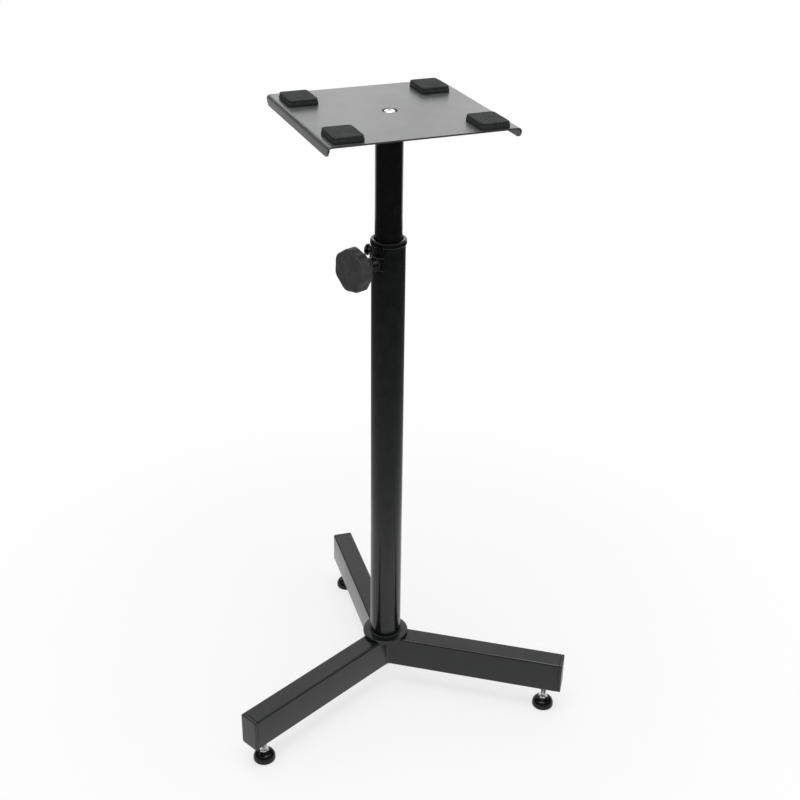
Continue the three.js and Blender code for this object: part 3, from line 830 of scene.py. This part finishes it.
def hub_bolt():
    """The bolt that draws the base together, with its hexagon head under the washer."""
    low, high = extent("hub_bolt", UPRIGHT)
    across = high.x - low.x
    six = hexagon(across)
    head = extent("hub_washer", UPRIGHT)[0].z - GAP
    shaft = HUB_HOLE - GAP
    rings = [
        circle(low.z, HUB_BOLT_CORE_SHARE * across, FINE_STEPS),
        circle(low.z, blunt_hexagon(across, HUB_BOLT_EDGE), FINE_STEPS),
        circle(low.z + HUB_BOLT_EDGE / 2, six, FINE_STEPS),
        circle(head, six, FINE_STEPS),
        circle(head, shaft, FINE_STEPS),
        circle(high.z, shaft, FINE_STEPS),
    ]
    dress("hub_bolt", loft(rings), UPRIGHT, ZINC)


def leg_welds():
    """Hollow fillets in the three corners between the legs, rippled, and rounded off at their ends."""
    low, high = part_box("leg_rear")
    apex = (high.x - low.x) / 2 / math.sin(LEG_MITRE)
    half = (high.z - low.z) / 2 - FILLET_SHORT
    middle = (low.z + high.z) / 2
    spread = 90 - math.degrees(LEG_MITRE)
    rings = []
    for height in np.linspace(-half, half, FILLET_LEVELS):
        over = min(1.0, max(0.0, abs(height) - (half - FILLET_END)) / FILLET_END)
        radius = FILLET_RADIUS * max(FILLET_TIP_SHARE, math.sqrt(1 - over**2))
        proud = FILLET_PROUD + FILLET_RIPPLE * math.sin(2 * math.pi * height / WELD_PITCH)
        centre = apex + radius / math.sin(LEG_MITRE)
        section = arc((centre, 0), radius - proud, 180 - spread, 180 + spread, FILLET_STEPS)
        section.append((apex - FILLET_ROOT, 0))
        rings.append([(x, y, height) for x, y in section])
    part = loft(rings)
    for name, azimuth in FILLET_AZIMUTHS.items():
        matrix = placed(math.radians(azimuth), middle)
        solid(f"leg_weld_{name}", part, matrix, POWDER, body_of("leg_rear"), SOFT_SHARP)


def drilled(made):
    """Cuts the radial holes of the clamp's shoe and the steadying screw through one wall."""
    near, far = COLUMN_RADIUS / 2, 2 * COLUMN_RADIUS
    for matrix, radius in RADIAL_HOLES:
        rod = turned([(0, near), (radius, near), (radius, far), (0, far)], SMALL_STEPS)
        cutter = mesh_object("cutter", moved(rod, matrix @ ALONG_X))
        clean(cutter.data)
        cut = made.modifiers.new("hole", "BOOLEAN")
        cut.operation = "DIFFERENCE"
        cut.solver = "EXACT"
        cut.object = cutter
        shown = made.evaluated_get(bpy.context.evaluated_depsgraph_get())
        pierced = bpy.data.meshes.new_from_object(shown)
        made.modifiers.remove(cut)
        made.data = pierced
        bpy.data.objects.remove(cutter)


def hole_bands(low, high):
    """Heights just below and above the radial holes, between two heights."""
    bands = []
    for matrix, radius in RADIAL_HOLES:
        middle = matrix.translation.z
        bands += [middle - radius - HOLE_MARGIN, middle + radius + HOLE_MARGIN]
    return [h for h in sorted(bands) if low < h < high]


def tube(node, material, holes=False):
    """A round tube with its cut ends eased."""
    low, high = extent(node, UPRIGHT)
    radius = high.x
    bore = radius - TUBE_WALL
    bands = hole_bands(low.z, high.z) if holes else []
    profile = [(bore, low.z), (radius - TUBE_EDGE, low.z), (radius, low.z + TUBE_EDGE)]
    profile += [(radius, h) for h in bands]
    profile += [(radius, high.z - TUBE_EDGE), (radius - TUBE_EDGE, high.z), (bore, high.z)]
    profile += [(bore, h) for h in reversed(bands)]
    made = dress(node, turned(profile, loop=True), UPRIGHT, material)
    if holes:
        drilled(made)


def column_weld():
    """The fillet between the column and its flange."""
    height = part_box("base_flange")[1].z + GAP
    ring = circle(height, COLUMN_RADIUS + GAP, COLUMN_BEAD_STEPS)
    path = [tuple(UPRIGHT @ Vector(p)) for p in ring]

    def outwards(point):
        return (point[0] - AXIS.x, point[1] - AXIS.y, COLUMN_RADIUS)

    bead("column_weld", "column_tube", path, outwards, COLUMN_BEAD)


def guide_bush():
    """The bush: a sleeve in the column's mouth, and the rounded rim that caps it."""
    low, high = extent("guide_bush", UPRIGHT)
    radius, top = high.x, high.z
    bottom = top - RIM_HEIGHT
    bore = extent("mast_tube", UPRIGHT)[1].x + GAP
    sleeve = extent("mast_guide_ring", UPRIGHT)[1].x
    bands = hole_bands(low.z, bottom)
    profile = [(bore, low.z), (sleeve, low.z)]
    profile += [(sleeve, h) for h in bands]
    profile.append((sleeve, bottom))
    profile += arc((radius - RIM_ROUND, bottom + RIM_ROUND), RIM_ROUND, -90, 0, RIM_STEPS)
    profile += arc((radius - RIM_ROUND, top - RIM_ROUND), RIM_ROUND, 0, 90, RIM_STEPS)
    funnel = [profile[-1], (bore + RIM_FUNNEL, top), (bore, top - RIM_FUNNEL_DEPTH), (bore, low.z)]
    profile += softened(funnel, [RIM_FUNNEL_EASE, 0])[1:-1]
    profile += [(bore, h) for h in reversed(bands)]
    part = turned(profile, loop=True)
    drilled(dress("guide_bush", part, UPRIGHT, SHINE))


# Clamp and steadying screw

def clamp_saddle():
    """A curved plate round the column, pierced for the shoe, with a weld along its top and bottom."""
    low, high = extent("clamp_saddle", CLAMP)
    radius = high.x
    inner = radius - SADDLE_THICKNESS
    middle = (high.z + low.z) / 2
    half_angle = math.asin(min(1.0, high.y / radius))
    outline = rounded_outline(2 * half_angle * radius, high.z - low.z, SADDLE_CORNER, extra=SADDLE_POINTS)
    rings = []
    for share in np.linspace(0, 1, SADDLE_RINGS):
        ring = []
        for s, z in outline:
            angle = math.atan2(z, s)
            hole_s = radius * math.asin(SHOE_HOLE * math.cos(angle) / inner)
            hole_z = SHOE_HOLE * math.sin(angle)
            turn = (hole_s + (s - hole_s) * share) / radius
            rise = hole_z + (z - hole_z) * share
            ring.append((radius * math.cos(turn), radius * math.sin(turn), middle + rise))
        rings.append(ring)
    part = loft(rings, caps=False)
    made = dress("clamp_saddle", part, CLAMP, POWDER)
    faces_along(made, CLAMP.to_3x3() @ Vector((1, 0, 0)))
    thicken(made, SADDLE_THICKNESS)

    reach = half_angle - SADDLE_CORNER / radius
    for name, height, rise in (("top", high.z, 1), ("bottom", low.z, -1)):
        path = [
            tuple(CLAMP @ Vector((inner * math.cos(a), inner * math.sin(a), height - middle)))
            for a in np.linspace(-reach, reach, 2 * ROUND_STEPS)
        ]

        def outwards(point, rise=rise):
            return (point[0] - AXIS.x, point[1] - AXIS.y, rise * inner)

        bead(f"saddle_weld_{name}", "clamp_saddle", path, outwards, SADDLE_BEAD, closed=False)


def seat_bead(name, node, matrix, radius, seat):
    """The weld round a boss where it stands on a round seat."""
    path = []
    for turn in np.linspace(0, 2 * math.pi, BOSS_BEAD_STEPS, endpoint=False):
        y, z = radius * math.cos(turn), radius * math.sin(turn)
        path.append(tuple(matrix @ Vector((math.sqrt(seat**2 - y**2), y, z))))
    axis = matrix.to_3x3() @ Vector((1, 0, 0))

    def outwards(point):
        away = Vector(point) - matrix.translation
        return away - axis * away.dot(axis) + axis * radius

    bead(name, node, path, outwards, BOSS_BEAD)


def boss(node, matrix, seat, bore, bead_name):
    """A round boss, its inner end hollowed to stand on a round seat, and welded there."""
    high = extent(node, matrix)[1]
    radius, end = high.z, high.x
    corners = [
        (bore, seat - BOSS_SKIRT),
        (radius, seat - BOSS_SKIRT),
        (radius, end - BOSS_CHAMFER),
        (radius - BOSS_CHAMFER, end),
        (bore + BOSS_BORE_CHAMFER, end),
        (bore, end - BOSS_BORE_CHAMFER),
    ]
    profile = softened(corners, [0, BOSS_EASE, BOSS_EASE, 0])
    points, faces = moved(turned(profile, ROUND_STEPS, loop=True), ALONG_X)
    points = [(math.sqrt(seat**2 - y**2) if x < seat else x, y, z) for x, y, z in points]
    dress(node, (points, faces), matrix, POWDER)
    seat_bead(bead_name, node, matrix, radius, seat)


def clamp_screw():
    """The threaded screw between the shoe and the knob."""
    low, high = extent("clamp_screw", CLAMP)
    radius = high.z
    rings = [circle(low.x, radius - THREAD_POINT, SMALL_STEPS)]
    rings += threaded(radius, low.x + THREAD_END, high.x - THREAD_END)
    rings.append(circle(high.x, radius - THREAD_POINT, SMALL_STEPS))
    part = moved(loft(rings), ALONG_X)
    dress("clamp_screw", part, CLAMP, ZINC)


def clamp_knob():
    """The lobed knob: a scalloped rim, a dished face and a flared neck down to its hub."""
    low, high = extent("clamp_knob", CLAMP)
    radius = max(high.y, high.z, -low.y, -low.z)
    back, face = low.x, high.x
    neck = back + KNOB_HUB_EDGE
    rim_back = face - KNOB_RIM_WIDTH
    shoulder = face - KNOB_FACE_ROUND
    steps = KNOB_LOBES * KNOB_LOBE_STEPS

    def ring(x, reach, scallop):
        """One ring of the knob, with its scallops."""
        points = []
        for i in range(steps):
            angle = 2 * math.pi * i / steps
            out = reach - scallop * (1 - math.cos(angle * KNOB_LOBES)) / 2
            turn = angle + KNOB_TURN
            points.append((x, out * math.cos(turn), out * math.sin(turn)))
        return points

    rings = [
        ring(back + KNOB_BORE_DEPTH, CLAMP_BORE, 0),
        ring(back, CLAMP_BORE, 0),
        ring(back, KNOB_HUB - KNOB_HUB_EDGE, 0),
    ]
    for share in np.linspace(0, 1, KNOB_FLARE_STEPS + 1):
        flare = (radius - KNOB_HUB) * (1 - math.cos(share * math.pi / 2))
        rings.append(ring(neck + (rim_back - neck) * share, KNOB_HUB + flare, KNOB_SCALLOP * share))
    rings.append(ring(rim_back + KNOB_RIM_START, radius, KNOB_SCALLOP))
    for share in KNOB_RIM_SHARES:
        rings.append(ring(rim_back + (shoulder - rim_back) * share, radius, KNOB_SCALLOP))
    for across, rise in arc((0, 0), KNOB_FACE_ROUND, 0, 90, KNOB_FACE_STEPS):
        rings.append(ring(shoulder + rise, radius - KNOB_FACE_ROUND + across, KNOB_SCALLOP))
    for share in KNOB_FACE_SHARES:
        dish = KNOB_DISH * (1 - share**2)
        rings.append(ring(face - dish, (radius - KNOB_FACE_ROUND) * share, KNOB_SCALLOP * share**3))
    dress("clamp_knob", loft(rings), CLAMP, KNOB, SOFT_SHARP)


def domed_socket(side_top, top, radius, crown, lip, depth, steps):
    """Rings of a screw's domed head, from the top of its side to the floor of its hexagon socket."""
    rings = []
    for across, up in arc((0, 0), 1, 0, 90, steps):
        reach = crown + (radius - crown) * across
        rings.append(circle(side_top + (top - side_top) * up, reach, SMALL_STEPS))
    socket = hexagon(SOCKET_ACROSS)
    rings.append(circle(top - lip, socket, SMALL_STEPS))
    rings.append(circle(top - depth, socket, SMALL_STEPS))
    return rings


def steady_screw():
    """A domed socket-head screw in its own small boss."""
    low, high = extent("steady_screw", STEADY)
    radius, top = high.z, high.x
    start = extent("steady_boss", STEADY)[1].x + GAP
    side_top = start + (top - start) * STEADY_SIDE_SHARE
    rings = [
        circle(low.x, STEADY_SHAFT, SMALL_STEPS),
        circle(start, STEADY_SHAFT, SMALL_STEPS),
        circle(start, radius - STEADY_EDGE, SMALL_STEPS),
        circle(start + STEADY_EDGE, radius, SMALL_STEPS),
    ]
    rings += domed_socket(
        side_top, top, radius, STEADY_CROWN, STEADY_EDGE, STEADY_SOCKET_DEPTH, STEADY_DOME_STEPS
    )
    part = moved(loft(rings), ALONG_X)
    dress("steady_screw", part, STEADY, GLOSS)


# Platform, its bolt and its pads

def sheet_top(edge):
    """The flat of the sheet, from the hole in its dish out to an edge of plane points."""
    lip = DISH_RADIUS + DISH_LIP
    corners = [(lip, 0), (DISH_RADIUS, 0), (DISH_FLOOR, -DISH_DEPTH), (DISH_HOLE, -DISH_DEPTH)]
    angles = [math.atan2(y, x) for x, y in edge]
    rings = []
    for radius, height in reversed(softened(corners, DISH_EASES, DISH_EASE_STEPS)):
        rings.append([(radius * math.cos(a), radius * math.sin(a), height) for a in angles])
    start = rings[-1]
    for share in SHEET_RING_SHARES:
        ring = []
        for (u, v, _), (x, y) in zip(start, edge):
            ring.append((u + (x - u) * share, v + (y - v) * share, 0.0))
        rings.append(ring)
    return loft(rings, caps=False)


def fold(side, flat, lowest, corner_start, along):
    """The bend and the drop along one side of the sheet, with the drop's lower corners rounded."""
    columns = []
    for y in along:
        over = max(0.0, abs(y) - corner_start)
        end = lowest + FOLD_CORNER - math.sqrt(max(FOLD_CORNER**2 - over**2, 0.0))
        straight = min(0.0, end + FOLD_RADIUS)
        bend = math.acos(max(0.0, (end + FOLD_RADIUS) / FOLD_RADIUS))
        column = []
        for angle in np.linspace(0, bend, FOLD_BEND_STEPS + 1):
            x = flat + FOLD_RADIUS * math.sin(angle)
            column.append((side * x, y, FOLD_RADIUS * math.cos(angle) - FOLD_RADIUS))
        x, y, z = column[-1]
        for step in range(1, FOLD_DROP_STEPS + 1):
            column.append((x, y, z + straight * step / FOLD_DROP_STEPS))
        columns.append(column)
    count = len(columns[0])
    points = [p for column in columns for p in column]
    faces = []
    for first in range(0, len(points) - count, count):
        for a in range(first, first + count - 1):
            faces.append((a, a + 1, a + count + 1, a + count))
    return points, faces


def platform():
    """The folded sheet: one skin from the dish's hole out to the folds, then given its thickness."""
    low, high = extent("platform", PLATFORM)
    half_depth = high.y
    flat = high.x - FOLD_RADIUS
    corner_start = half_depth - FOLD_CORNER
    corner_angles = np.radians(np.linspace(0, 90, FOLD_CORNER_STEPS + 1))
    corner = [half_depth - FOLD_CORNER * (1 - math.sin(a)) for a in corner_angles]
    inner = list(np.linspace(-corner_start, corner_start, SHEET_DEEP_STEPS + 1))[1:-1]
    along = [-y for y in reversed(corner)] + inner + corner
    across = list(np.linspace(-flat, flat, SHEET_WIDE_STEPS + 1))

    edge = [(flat, y) for y in along[:-1]]
    edge += [(x, half_depth) for x in reversed(across[1:])]
    edge += [(-flat, y) for y in reversed(along[1:])]
    edge += [(x, -half_depth) for x in across[:-1]]

    folds = [fold(side, flat, low.z, corner_start, along) for side in (1, -1)]
    part = joined(sheet_top(edge), *folds)
    made = dress("platform", part, PLATFORM, SHEET_WITH_PAINTED_SHEEN)
    faces_along(made, Vector((0, 0, 1)))
    thicken(made, SHEET_THICKNESS)


def platform_bolt():
    """A bright domed screw with a hexagon socket, in the platform's dish."""
    low, high = extent("platform_bolt", PLATFORM)
    radius, top = high.x, high.z
    seat = top - BOLT_HEAD
    shaft = DISH_HOLE - GAP
    rings = [circle(low.z, shaft - BOLT_POINT, SMALL_STEPS)]
    rings += threaded(shaft, low.z + THREAD_END, seat - BOLT_PLAIN)
    rings.append(circle(seat, shaft, SMALL_STEPS))
    rings.append(circle(seat, radius - BOLT_EDGE, SMALL_STEPS))
    rings.append(circle(seat + BOLT_EDGE, radius, SMALL_STEPS))
    rings += domed_socket(
        seat + BOLT_SIDE, top, radius, BOLT_CROWN, BOLT_SOCKET_LIP, BOLT_SOCKET_DEPTH, BOLT_DOME_STEPS
    )
    dress("platform_bolt", loft(rings), PLATFORM, ZINC)


def rubber_pad(side):
    """An oblong rubber foot: two layers with a step between them, and a rounded top edge."""
    node = f"rubber_pad_{side}"
    low, high = extent(node, PLATFORM)
    width, depth = high.x - low.x, high.y - low.y
    middle = (low + high) / 2
    matrix = PLATFORM @ Matrix.Translation((middle.x, middle.y, low.z))
    top = high.z - low.z
    shoulder = top - RUBBER_ROUND
    sides = [
        (0, RUBBER_SOLE),
        (0, 0),
        (RUBBER_STEP_HEIGHT, 0),
        (RUBBER_STEP_HEIGHT + RUBBER_STEP_RISE, RUBBER_STEP),
        (shoulder, RUBBER_STEP),
    ]
    path = softened(sides, RUBBER_EASES)[:-1]
    for across, up in arc((0, 0), RUBBER_ROUND, 0, 90):
        path.append((shoulder + up, RUBBER_STEP + RUBBER_ROUND - across))
    start = path[-1][1]
    for share in RUBBER_FACE_SHARES:
        path.append((top, start + (width / 2 - start) * share))
    rings = []
    for height, inset in path:
        outline = rounded_outline(width, depth, RUBBER_CORNER + RUBBER_CORNER_GROWTH * inset, inset)
        rings.append([(x, y, height) for x, y in outline])
    dress(node, loft(rings), matrix, RUBBER)


# Build the stand

for side in LEG_AZIMUTHS:
    leg(side)
    end_cap(side)
    foot(side)
flat_ring("base_flange", FLANGE_EDGES, POWDER)
flat_ring("hub_washer", WASHER_EDGES, ZINC)
hub_bolt()
leg_welds()
tube("column_tube", POWDER, holes=True)
column_weld()
guide_bush()
tube("mast_tube", GLOSS)
clamp_saddle()
boss("clamp_boss", CLAMP, extent("clamp_saddle", CLAMP)[1].x + GAP, CLAMP_BORE, "clamp_boss_weld")
clamp_screw()
clamp_knob()
boss("steady_boss", STEADY, COLUMN_RADIUS + GAP, STEADY_HOLE, "steady_boss_weld")
steady_screw()
platform()
platform_bolt()
for side in ("rear_left", "rear_right", "front_left", "front_right"):
    rubber_pad(side)

# Inner pieces that keep their own solids
for node, material in (
    ("column_plug", ZINC),
    ("mast_plug", ZINC),
    ("mast_guide_ring", CAP),
    ("clamp_shoe", BRASS),
):
    kept = frame["nodes"][node]
    kept.data.materials.clear()
    kept.data.materials.append(material)
    ease = kept.modifiers.new("edges", "BEVEL")
    ease.width = KEPT_EDGE
    ease.limit_method = "ANGLE"


# Floor, backdrop, light and camera

def floor():
    """A plain pale floor, lit by the lamp near the stand and plain white further off."""
    reach = FLOOR_REACH
    corners = [(-reach, -reach, 0), (reach, -reach, 0), (reach, reach, 0), (-reach, reach, 0)]
    made = mesh_object("floor", (corners, [(0, 1, 2, 3)]))
    n = material_nodes("floor")
    n.finish(Base_Color=FLOOR_COLOUR, Roughness=1.0, Specular_IOR_Level=0.0)
    made.data.materials.append(n.owner)
    away = n.measured("LENGTH", n.places)["Value"]
    white = n.ramp(away, SHADE_NEAR, SHADE_FAR, start=SHADE_WHITE)
    share = n.maths("MULTIPLY", n.seen(), white)
    mix = n.add("ShaderNodeMixShader")
    n.join(share, mix.inputs["Fac"])
    n.join(n.tree.nodes["Principled BSDF"].outputs["BSDF"], mix.inputs[1])
    n.join(n.add("ShaderNodeEmission").outputs["Emission"], mix.inputs[2])
    n.surface(mix.outputs["Shader"])


def world():
    """White where it is seen or reflected, and a softer level for the light that it gives."""
    made = bpy.data.worlds.new("studio")
    bpy.context.scene.world = made
    n = Nodes(made)
    ground = n.tree.nodes["Background"]
    ground.inputs["Color"].default_value = (1, 1, 1, 1)
    n.join(n.ramp(n.seen(), low=0.0, high=1.0, start=WORLD_LIGHT), ground.inputs["Strength"])


def lamp(name, place, aim, size, power):
    """A soft rectangular lamp that looks at a point."""
    light = bpy.data.lights.new(name, "AREA")
    light.shape = "RECTANGLE"
    light.size, light.size_y = size
    light.energy = power
    made = bpy.data.objects.new(name, light)
    bpy.context.scene.collection.objects.link(made)
    made.location = place
    made.rotation_mode = "QUATERNION"
    made.rotation_quaternion = (Vector(aim) - Vector(place)).to_track_quat("-Z", "Y")


def card(name, part, level):
    """A card that only shiny surfaces see. Its level is a number, or a function that makes its nodes."""
    made = mesh_object(name, part)
    n = material_nodes(name)
    made.data.materials.append(n.owner)
    glow = n.add("ShaderNodeEmission")
    if callable(level):
        n.join(level(n), glow.inputs["Strength"])
    else:
        glow.inputs["Strength"].default_value = level
    n.surface(glow.outputs["Emission"])
    made.visible_camera = False
    made.visible_diffuse = False
    made.visible_shadow = False


def dark_bowl():
    """A dark bowl round the white floor near the stand, and a wall on it that whitens to the back."""

    def falling(n):
        """A level that falls off with the distance from the stand."""
        flat = n.measured("MULTIPLY", n.places, (1, 1, 0))["Vector"]
        away = n.measured("LENGTH", flat)["Value"]
        drop = n.maths("MULTIPLY", n.maths("SUBTRACT", away, BOWL_INNER), -BOWL_FALL)
        return n.maths("MULTIPLY", n.maths("POWER", math.e, drop), BOWL_LEVEL)

    def whitening(n):
        """A level that grows from dark to white towards the wall's white azimuth."""
        towards = (math.cos(WALL_WHITE_AZIMUTH), math.sin(WALL_WHITE_AZIMUTH), 0)
        along = n.measured("DOT_PRODUCT", n.places, towards)["Value"]
        dark = BOWL_OUTER * math.cos(WALL_DARK_FROM)
        white = BOWL_OUTER * math.cos(WALL_WHITE_FROM)
        return n.ramp(along, dark, white, start=WALL_LEVEL)

    bottom = circle(0, BOWL_INNER, FINE_STEPS)
    brim = circle(BOWL_TOP, BOWL_OUTER, FINE_STEPS)
    top = circle(WALL_TOP, BOWL_OUTER, FINE_STEPS)
    card("dark_bowl", loft([bottom, brim], caps=False), falling)
    card("dark_wall", loft([brim, top], caps=False), whitening)


def upright_card(name, distance, start, end, low, high, strength):
    """A curved upright card between two azimuths in degrees and two heights."""
    angles = np.radians(np.linspace(start, end, CARD_STEPS + 1))
    points = [(distance * math.cos(a), distance * math.sin(a), z) for a in angles for z in (low, high)]
    faces = [(2 * i, 2 * i + 2, 2 * i + 3, 2 * i + 1) for i in range(CARD_STEPS)]
    card(name, (points, faces), strength)


def camera():
    """The photograph's camera, from its place, heading, pitch and roll."""
    lens = bpy.data.cameras.new("camera")
    lens.lens = CAMERA_LENS
    lens.sensor_width = CAMERA_SENSOR
    made = bpy.data.objects.new("camera", lens)
    bpy.context.scene.collection.objects.link(made)
    turn = Matrix.Rotation(math.radians(-CAMERA_HEADING), 4, "Z")
    tilt = Matrix.Rotation(math.radians(90 - CAMERA_PITCH), 4, "X")
    roll = Matrix.Rotation(math.radians(CAMERA_ROLL), 4, "Z")
    made.matrix_world = Matrix.Translation(CAMERA_PLACE) @ turn @ tilt @ roll
    bpy.context.scene.camera = made


floor()
world()
dark_bowl()
upright_card("bright_backdrop", distance=6.0, start=30, end=102, low=1.2, high=3.7, strength=2.0)
upright_card("dark_wing", distance=1.1, start=108, end=150, low=0.78, high=1.5, strength=0.0)
lamp("key", place=(-0.1, -0.3, 2.6), aim=(0, 0, 0.4), size=(1.6, 1.6), power=37)
camera()
bpy.context.scene.view_settings.view_transform = "Standard"
